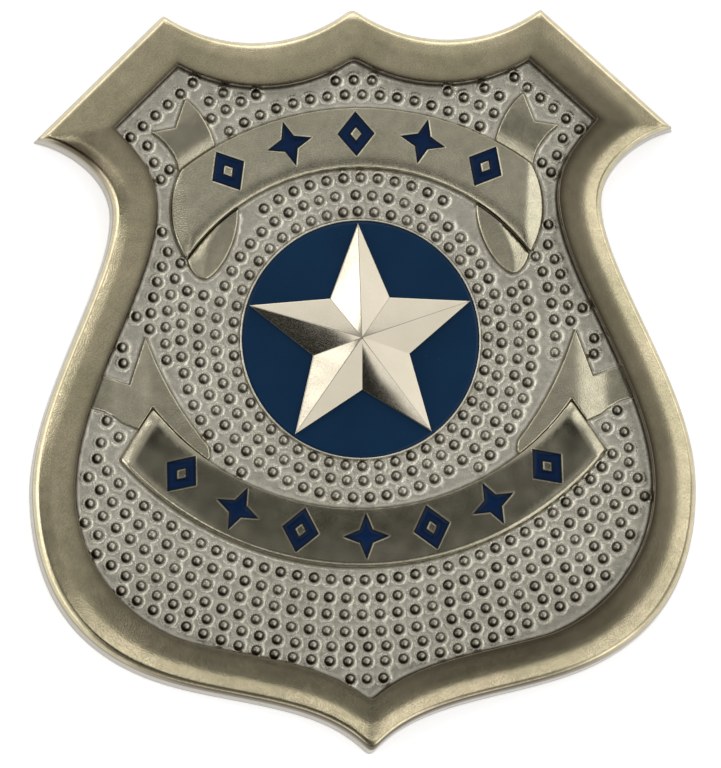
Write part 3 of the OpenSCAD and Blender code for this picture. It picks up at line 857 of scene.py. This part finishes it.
def make_star():
    tips = np.array([polar(90 - 36 * i) * (STAR_R, STAR_INNER_R)[i % 2] for i in range(10)])
    edge = rounded(tips, 0.16, 0.05)

    def facets(points):
        """Height of the pointed star over its edge."""
        way = np.degrees(np.arctan2(points[:, 1], points[:, 0]))
        turn = (90 - way) % 72
        turn = np.radians(np.minimum(turn, 72 - turn))
        r = norm(points, axis=1)
        inner = STAR_INNER_R * polar(36)
        slope = inner[1] / (STAR_R - inner[0])
        reach = (STAR_R * slope) / np.maximum(slope * np.cos(turn) + np.sin(turn), 1e-9)
        first, last = np.radians(way % 360 - FULL_RIDGES[0]), np.radians(FULL_RIDGES[1] - way % 360)
        swell = r * np.maximum(np.sin(first), 0) * np.maximum(np.sin(last), 0)
        return STAR_RISE * (1 - (r / reach) ** STAR_BULGE) + FULL_SWELL * swell

    def height(points):
        spots = [(0, 0)] + [RIDGE_SOFT * polar(60 * k) for k in range(6)]
        soft = sum(facets(points + spot) for spot in spots) / len(spots)
        inward = distance(points, [edge])
        return DISC_Z + STAR_EDGE + soft - drop(inward, 0.05, 0.05) + 0.012 * ripple(points, 2.2, 7.0)

    ridges = []
    for side in RIDGE_ROWS:
        for i in range(10):
            along = polar(90 - 36 * i)
            reach = (STAR_R, STAR_INNER_R)[i % 2]
            across = side * np.array([-along[1], along[0]])
            ridges.append(np.arange(0, reach - 0.2, RIDGE_STEP)[:, None] * along + across)
    ridges = thinned(np.concatenate(ridges), RIDGE_GAP)
    relief("star", [edge], height, DISC_Z, 0.2, STAR, "star", insets=(0.025, 0.05, 0.12), dots=ridges)


# Ribbons

# Fine lip round the pockets: height, place, half width and where its points lie
LIP_H, LIP_AT, LIP_HALF, LIP_LINES = 0.03, 0.02, 0.09, (0.045, 0.09, 0.2)
POCKET_GAP = 0.05
EDGE_INSETS = (0.06, 0.14, 0.25, 0.4)
# Height and size of the ribbons' faint waves
WAVE, WAVE_SIZE = 0.012, 2.5


def round_drop(x, y, middle_y, radius, width, depth, way):
    """The rounded edge along an arc: way is 1 where the arc bounds the face outward, and else -1."""
    return drop(way * (radius - np.hypot(x, y - middle_y)), width, depth)


def crossing(p, r, q, s):
    """Right-hand point where a circle round p meets a circle round q."""
    apart = norm(q - p)
    along = (q - p) / apart
    reach = (apart**2 + r**2 - s**2) / (2 * apart)
    high = sqrt(r**2 - reach**2)
    return max((p + reach * along + way * high * np.array([-along[1], along[0]]) for way in (1, -1)),
               key=lambda found: found[0])


def arc(middle, radius, first, last, step):
    """Points on a circle from one point to another by the shorter way."""
    start, end = (atan2(*(np.array(p) - middle)[::-1]) for p in (first, last))
    turn = (end - start + pi) % (2 * pi) - pi
    count = max(2, round(abs(turn) * radius / step))
    angles = start + turn * np.arange(count) / count
    return middle + radius * np.stack([np.cos(angles), np.sin(angles)], 1)


def grown(loop, out):
    """An outline whose straight sides are all moved outward."""
    if cross(loop, np.roll(loop, -1, 0)).sum() < 0:
        loop = loop[::-1]
    normal = normals(loop)
    return loop + out * 2 * normal / (normal**2).sum(1)[:, None]


def holes_of(nodes):
    """Outlines of the pockets round some enamel inlays, a hair wider than these."""
    holes = []
    for node in nodes:
        outer, *inner = sorted(footprint(node), key=lambda loop: -np.ptp(loop[:, 0]))
        holes.append(rounded(grown(outer, POCKET_GAP), 0.12))
        holes += [rounded(grown(loop, -POCKET_GAP), 0.12) for loop in inner]
    return holes


def lips(points, holes):
    """Fine raised line round the pockets."""
    return LIP_H * hump(distance(points, holes), LIP_AT, LIP_HALF)


def lip_dots(holes):
    """Points along the lips, on both sides of the pockets' edges."""
    lines = [(hole, way * out) for hole in holes for out in LIP_LINES for way in (1, -1)]
    return np.concatenate([dots for line in lines for dots in offset(*line)])


# Arcs of the ribbons' edges: height of the middle and radius
UPPER_TOP, UPPER_LOW = (-5.8, 29.5), (-4.2, 21.8)
LOWER_TOP, LOWER_LOW = (9.2, 26.6), (9.5, 32.8)
END_MIDDLE, END_R = np.array([10.5, 13.4]), 8.6
# The crease where the upper ribbon's ends roll down, and their slope
CREASE_TOP, CREASE_LOW = np.array([17.7, 17.6]), np.array([17.0, 8.4])
ROLL_SLOPE, ROLL_SOFT, CREASE_LINES = 0.29, 0.2, (-0.5, -0.3, -0.15, 0, 0.15, 0.3, 0.5)
UPPER_SAG, UPPER_SAG_WIDTH = 0.16, 1.3
# Width and depth of the upper ribbon's rounded edges: top, low and ends, and where the ends begin
TOP_ROUND, LOW_ROUND, END_ROUND, END_FROM = (0.14, 0.12), (0.1, 0.1), (0.2, 0.2), 14
# Least height of a ribbon's and a tail's edge
RIBBON_LEAST, TAIL_LEAST = 0.15, 0.12
# The ribbons lean outward a little
RIBBON_TILT, UPPER_MIDDLE_R, LOWER_MIDDLE_R = 0.035, 20.6, 20.4


def make_upper_ribbon():
    top, low = np.array([0, UPPER_TOP[0]]), np.array([0, UPPER_LOW[0]])
    high_tip = crossing(END_MIDDLE, END_R, top, UPPER_TOP[1])
    low_tip = crossing(END_MIDDLE, END_R, low, UPPER_LOW[1])
    half = np.concatenate([
        arc(top, UPPER_TOP[1], (0, UPPER_TOP[0] + UPPER_TOP[1]), high_tip, 0.2),
        arc(END_MIDDLE, END_R, high_tip, END_MIDDLE + [END_R, 0], 0.2),
        arc(END_MIDDLE, END_R, END_MIDDLE + [END_R, 0], low_tip, 0.2),
        arc(low, UPPER_LOW[1], low_tip, (0, UPPER_LOW[0] + UPPER_LOW[1]), 0.2),
        [(0, UPPER_LOW[0] + UPPER_LOW[1])],
    ])
    holes = holes_of(UPPER_INLAYS)
    run = (CREASE_TOP - CREASE_LOW) / norm(CREASE_TOP - CREASE_LOW)

    def height(points):
        x, y = np.abs(points[:, 0]), points[:, 1]
        past = (x - CREASE_LOW[0]) * run[1] - (y - CREASE_LOW[1]) * run[0]
        roll = ROLL_SLOPE * ramp(past, ROLL_SOFT)
        edge = round_drop(x, y, *UPPER_TOP, *TOP_ROUND, 1) + round_drop(x, y, *UPPER_LOW, *LOW_ROUND, -1)
        from_low = np.clip(np.hypot(x, y - UPPER_LOW[0]) - UPPER_LOW[1], 0, UPPER_SAG_WIDTH)
        edge += UPPER_SAG * (1 - from_low / UPPER_SAG_WIDTH) ** 2
        edge += RIBBON_TILT * (np.hypot(x, y) - UPPER_MIDDLE_R)
        from_end = END_R - np.hypot(x - END_MIDDLE[0], y - END_MIDDLE[1])
        edge += drop(from_end, *END_ROUND) * (x > END_FROM)
        z = RIBBON_Z - roll - edge + WAVE * ripple(points, WAVE_SIZE, 5.0) + lips(points, holes)
        return np.maximum(z, FIELD_Z + RIBBON_LEAST)

    dots = np.concatenate([lip_dots(holes), along_crease(1), along_crease(-1)])
    relief("upper_band", [whole(half)], height, FIELD_Z, 0.4, RIBBON, "upper_ribbon", insets=EDGE_INSETS,
           dots=dots, pockets=holes, pocket_z=POCKET_Z)
    make_leaves()


def along_crease(side):
    """Points on both sides of the crease where a ribbon's end starts to roll down."""
    t = np.linspace(0, 1.06, 50)[:, None]
    line = CREASE_LOW + (CREASE_TOP - CREASE_LOW) * t
    line = np.concatenate([line + [out, 0] for out in CREASE_LINES])
    return line * [side, 1]


# Corners of the leaves under the upper ribbon, their height and slope inside the ridge
LEAF_FOOT, LEAF_TIP = np.array([15.6, 6.5]), np.array([17.5, 8.5])
LEAF_FROM_X, LEAF_TO_X, LEAF_SEAM = 12.2, 17.3, 0.06
LEAF_Z, LEAF_INSIDE, LEAF_SOFT, LEAF_ROUND, LEAF_LEAST = 3.35, 0.07, 0.2, (0.12, 0.1), 0.1
# Slope outside the ridge at the leaf's foot and top
LEAF_OUTSIDE = (0.18, 0.34)
LEAF_RIDGE = bezier(*np.array([(11.9, 14.2), (14.4, 12.2), (16.3, 9.2), (15.6, 5.5)]), 24)


def make_leaves():
    """Curled ends that show under the band, each with a ridge that bends along it."""
    middle, reach = np.array([0, UPPER_LOW[0]]), UPPER_LOW[1] - LEAF_SEAM
    top, tip = (middle + (x, sqrt(reach**2 - x**2)) for x in (LEAF_FROM_X, LEAF_TO_X))
    line = np.concatenate([
        arc(middle, reach, top, tip, 0.2),
        [tip],
        bezier(LEAF_TIP, np.array([17.2, 7.4]), np.array([16.5, 6.4]), LEAF_FOOT, 20),
        bezier(LEAF_FOOT, np.array([14, 7.2]), np.array([12.1, 10.4]), top, 60),
    ])
    right = rounded(line, 0.16, 0.1)
    for name, side, foot in (("leaf_left", -1, mirrored(right)), ("leaf_right", 1, right)):

        def from_band(points):
            return reach - np.hypot(points[:, 0], points[:, 1] - middle[1])

        def height(points):
            there = points * [side, 1]
            away = distance(there, [np.concatenate([LEAF_RIDGE, LEAF_RIDGE[::-1]])])
            across = np.interp(there[:, 1], LEAF_RIDGE[::-1, 1], LEAF_RIDGE[::-1, 0])
            outside = LEAF_OUTSIDE[0] + (LEAF_OUTSIDE[1] - LEAF_OUTSIDE[0]) * smooth(there[:, 1], 7, 11)
            fall = np.where(there[:, 0] > across, outside, LEAF_INSIDE)
            body = LEAF_Z - fall * (np.sqrt(away**2 + LEAF_SOFT**2) - LEAF_SOFT)
            body -= drop(distance(points, [foot]), *LEAF_ROUND)
            up = smooth(from_band(points), 0.04, 0.22)
            return np.maximum((FIELD_Z + TAIL_LEAST) * (1 - up) + body * up, FIELD_Z + LEAF_LEAST)

        # Painted shadow along the band's edge, where the band hangs over the leaf
        def tone(points):
            return 0.85 * (1 - smooth(from_band(points), 0.1, 0.28))

        relief(name, [foot], height, FIELD_Z, 0.2, RIBBON, "upper_ribbon", insets=(0.05, 0.12, 0.22),
               sharp=60, tone=tone)


# The lower ribbon's right end, its trough, and the dish in its end
LOWER_END_TOP, LOWER_END_LOW = np.array([21.4, -6.6]), np.array([24.9, -11.8])
LOWER_SUNK, TROUGH = 0.05, 0.12
DISH_AT, DISH_REACH, DISH_DEPTH = np.array([21.0, -10.0]), 3.0, 0.14
END_SLOPE, END_WIDTH, END_SOFT = 0.36, 1.15, 0.12
# Patina and painted shade on the lower ribbon's face, what the dish adds and how far, and the sharpness
# of its corners
LOWER_PATINA_AND_SHADE, DISH_PATINA_AND_SHADE, DISH_PATINA_AND_SHADE_REACH, PATINA_AND_SHADE_CORNER = 0.66, 0.2, 4.0, 2.5
# Slanted border along the upper edge near the ends: width and where it starts
BORDER_WIDTH, BORDER_FROM = 0.75, (13, 20)


def lower_face(points):
    """Height of the lower ribbon's hollow face, and distances from its top, low and end edges."""
    x, y = np.abs(points[:, 0]), points[:, 1]
    from_top = np.hypot(x, y - LOWER_TOP[0]) - LOWER_TOP[1]
    from_low = LOWER_LOW[1] - np.hypot(x, y - LOWER_LOW[0])
    across = np.clip(from_top / np.maximum(from_top + from_low, 1e-6), 0, 1)
    run = (LOWER_END_TOP - LOWER_END_LOW) / norm(LOWER_END_TOP - LOWER_END_LOW)
    from_end = -((x - LOWER_END_LOW[0]) * run[1] - (y - LOWER_END_LOW[1]) * run[0])
    hollow = 4 * across * (1 - across) * smooth(from_end, 0.1, 2.4)
    dish = hump(np.hypot(x - DISH_AT[0], y - DISH_AT[1]), 0, DISH_REACH)
    tilt = RIBBON_TILT * (np.hypot(x, y) - LOWER_MIDDLE_R)
    face = RIBBON_Z - LOWER_SUNK - TROUGH * hollow - DISH_DEPTH * dish - tilt
    return face, from_top, from_low, from_end


def make_lower_ribbon():
    foot = [rounded(FEET["lower_ribbon"][0], 0.2, 0.35)]
    holes = holes_of(LOWER_INLAYS)

    def height(points):
        face, from_top, from_low, from_end = lower_face(points)
        edge = drop(from_top, 0.12, 0.12) + drop(from_low, 0.45, 0.3) + drop(from_end, 0.25, 0.25)
        border = smooth(np.abs(points[:, 0]), *BORDER_FROM) * ramp(BORDER_WIDTH - from_top, END_SOFT)
        edge += END_SLOPE * (ramp(END_WIDTH - from_end, END_SOFT) + border)
        z = face - edge + WAVE * ripple(points, WAVE_SIZE, 6.0) + lips(points, holes)
        return np.maximum(z, FIELD_Z + RIBBON_LEAST)

    def tone(points):
        _, from_top, from_low, from_end = lower_face(points)
        border = 0.55 * smooth(np.abs(points[:, 0]), *BORDER_FROM)
        ins = np.stack([(from_top - border) * 1.5, from_low - 0.1 - border, from_end - END_WIDTH + 0.1])
        inward = -np.log(np.exp(-PATINA_AND_SHADE_CORNER * np.clip(ins, -1, 9)).sum(0)) / PATINA_AND_SHADE_CORNER
        from_dish = np.hypot(np.abs(points[:, 0]) - DISH_AT[0], points[:, 1] - DISH_AT[1])
        # Patina and painted shade on the hollow face, more in the dish
        dark = LOWER_PATINA_AND_SHADE + DISH_PATINA_AND_SHADE * hump(from_dish, 0, DISH_PATINA_AND_SHADE_REACH)
        return dark * smooth(inward, -0.15, 0.45) * (1 + 0.25 * ripple(points, 1.7, 9.0))

    relief("lower_band", foot, height, FIELD_Z, 0.4, RIBBON, "lower_ribbon", insets=(*EDGE_INSETS, 0.6),
           dots=lip_dots(holes), tone=tone, pockets=holes, pocket_z=POCKET_Z)


# Where an upper tail sinks towards its ribbon: distance from it and slope
TAIL_DIPS, DIP_SOFT = [(1.2, 0.12), (3.8, 0.095)], 0.2
# Where a lower tail slants down towards the rim, across, and its slope
TAIL_BEND, TAIL_SLOPE, TAIL_SOFT = (21.9, 25.2), 0.2, 0.3
TAIL_ROUND, TAIL_WAVE, TAIL_WAVE_SIZE = (0.12, 0.12), 0.01, 1.5


def make_tails():
    for name in TAILS:
        foot = [rounded(FEET[name][0], 0.15, 0.08)]
        upper = name.startswith("upper")

        def height(points):
            x, y = np.abs(points[:, 0]), points[:, 1]
            if upper:
                away = np.hypot(x, y - UPPER_TOP[0]) - UPPER_TOP[1]
                bend = sum(slope * ramp(start - away, DIP_SOFT) for start, slope in TAIL_DIPS)
            else:
                first, last = (ramp(x - place, TAIL_SOFT) for place in TAIL_BEND)
                bend = TAIL_SLOPE * (first - last)
            z = TAIL_Z - bend - drop(distance(points, foot), *TAIL_ROUND)
            return np.maximum(z, FIELD_Z + TAIL_LEAST) + TAIL_WAVE * ripple(points, TAIL_WAVE_SIZE, 8.0)

        relief(name + "_relief", foot, height, FIELD_Z, 0.3, RIBBON, name, insets=(0.05, 0.1, 0.2))


# The enamel's depth below the ribbon's face, its hollow, its least thickness and the painted shade along
# its edge
INLAY_SUNK, INLAY_HOLLOW, HOLLOW_REACH, INLAY_LEAST, INLAY_EDGE_SHADE = 0.05, 0.06, 0.35, 0.06, (0.05, 0.4)


def make_inlays():
    for name in UPPER_INLAYS + LOWER_INLAYS:
        foot = [rounded(loop, 0.12) for loop in footprint(name)]

        def height(points):
            level = lower_face(points)[0] if name in LOWER_INLAYS else RIBBON_Z
            sunk = INLAY_SUNK + INLAY_HOLLOW * smooth(distance(points, foot), 0, HOLLOW_REACH)
            return np.maximum(level - sunk, POCKET_Z + INLAY_LEAST)

        def tone(points):
            # Painted shade along the enamel's edge
            return 1 - smooth(distance(points, foot), *INLAY_EDGE_SHADE)

        relief(name + "_enamel", foot, height, POCKET_Z, 0.25, INLAY, name,
               insets=EDGE_INSETS[:3], tone=tone)


make_rim()
make_field()
make_bezel()
make_disc()
make_star()
make_upper_ribbon()
make_lower_ribbon()
make_tails()
make_inlays()
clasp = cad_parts["pin_clasp"]
clasp.data.materials.clear()
clasp.data.materials.append(PIN)


# Floor, light and camera

FLOOR_REACH = 3.0


def make_floor():
    mesh = bpy.data.meshes.new("floor")
    corners = [(x * FLOOR_REACH, y * FLOOR_REACH, 0) for x, y in ((-1, -1), (1, -1), (1, 1), (-1, 1))]
    mesh.from_pydata(corners, [], [(0, 1, 2, 3)])
    floor = new_object("floor", mesh)
    material = bpy.data.materials.new("floor")
    shader = links(material)[0]
    put(shader["Base Color"], (0.95, 0.95, 0.95, 1))
    put(shader["Roughness"], 0.9)
    put(shader["Specular IOR Level"], 0.0)
    put(shader["Emission Color"], (1, 1, 1, 1))
    put(shader["Emission Strength"], 0.5)
    mesh.materials.append(material)


# The sky: brightness overhead, and rings that add to it, with the degrees from straight up where each
# starts and is full
OVERHEAD = 0.5
SKY_RINGS = [(40, 58, 0.3), (66, 82, 1.7)]
# Soft lights: direction, degrees from straight up, half width, softness and strength
LIGHTS = [
    (152.5, 37, 5, 3, 2.8),
    (12, 41, 16, 5, 0.98),
    (84, 50, 8, 7, 0.75),
    (317, 37, 14, 7, 0.8),
    (236, 23, 8, 4, 1.0),
    (176, 64, 12, 7, 1.8),
    (90, 74, 12, 8, 0.8),
    (84, 28, 12, 8, 0.08),
    (283, 22, 7, 6, 0.22),
]
# Dark screens, which take light away
SCREENS = [
    (302, 7.5, 8, 4.5, 0.88),
    (234, 42, 11, 5, 0.95),
    (184, 36, 14, 6, 0.55),
    (260, 82, 30, 14, 0.85),
    (345, 80, 20, 14, 0.6),
    (46, 23, 8, 6, 0.3),
]


def make_light():
    world = bpy.data.worlds.new("studio")
    bpy.context.scene.world = world
    sky, add = links(world, "Background")
    way = add("TexCoord").outputs["Generated"]

    def join(kind, first, second):
        made = add("VectorMath" if kind == "DOT_PRODUCT" else "Math", {"operation": kind})
        put(made.inputs[0], first)
        put(made.inputs[1], second)
        return made.outputs["Value"]

    def step(value, low, high, amount):
        return spread(add, value, low, high, 0.0, amount, "SMOOTHSTEP")

    def spot(azimuth, tilt, half, soft, amount):
        flat = polar(azimuth) * sin(radians(tilt))
        facing = join("DOT_PRODUCT", way, (*flat, cos(radians(tilt))))
        far, near = cos(radians(half + soft)), cos(radians(half))
        return step(facing, far, near, amount)

    apart = add("SeparateXYZ", Vector=way)
    down = join("MULTIPLY", apart.outputs["Z"], -1.0)
    total = OVERHEAD
    for start, full, amount in SKY_RINGS:
        low, high = -cos(radians(start)), -cos(radians(full))
        total = join("ADD", total, step(down, low, high, amount))
    for light in LIGHTS:
        total = join("ADD", total, spot(*light))
    for screen in SCREENS:
        total = join("MULTIPLY", total, join("SUBTRACT", 1.0, spot(*screen)))
    put(sky["Color"], (1, 1, 1, 1))
    put(sky["Strength"], total)


# The camera looks down from a little below and to the left, far away
VIEW_WIDTH = 73.54 * MM
CAMERA_AWAY = 0.9
FROM_LEFT, FROM_BELOW, ROLL = 4.0, 5.0, 1.5
AIM = (-0.12, -4.55)


def make_camera():
    camera = new_object("camera", bpy.data.cameras.new("camera"))
    back = Vector((-tan(radians(FROM_LEFT)), -tan(radians(FROM_BELOW)), 1)).normalized()
    aim = Vector((*(MIDDLE + AIM) * MM, FIELD_Z * MM))
    up = Vector((sin(radians(ROLL)), cos(radians(ROLL)), 0))
    right = up.cross(back).normalized()
    up = back.cross(right)
    turn = Matrix((right, up, back)).transposed().to_4x4()
    camera.matrix_world = Matrix.Translation(aim + back * CAMERA_AWAY) @ turn
    data = camera.data
    data.sensor_fit = "HORIZONTAL"
    data.sensor_width = 36
    data.lens = data.sensor_width * CAMERA_AWAY / VIEW_WIDTH
    data.clip_end = 10
    bpy.context.scene.camera = camera


make_floor()
make_light()
make_camera()
bpy.context.scene.view_settings.view_transform = "Standard"
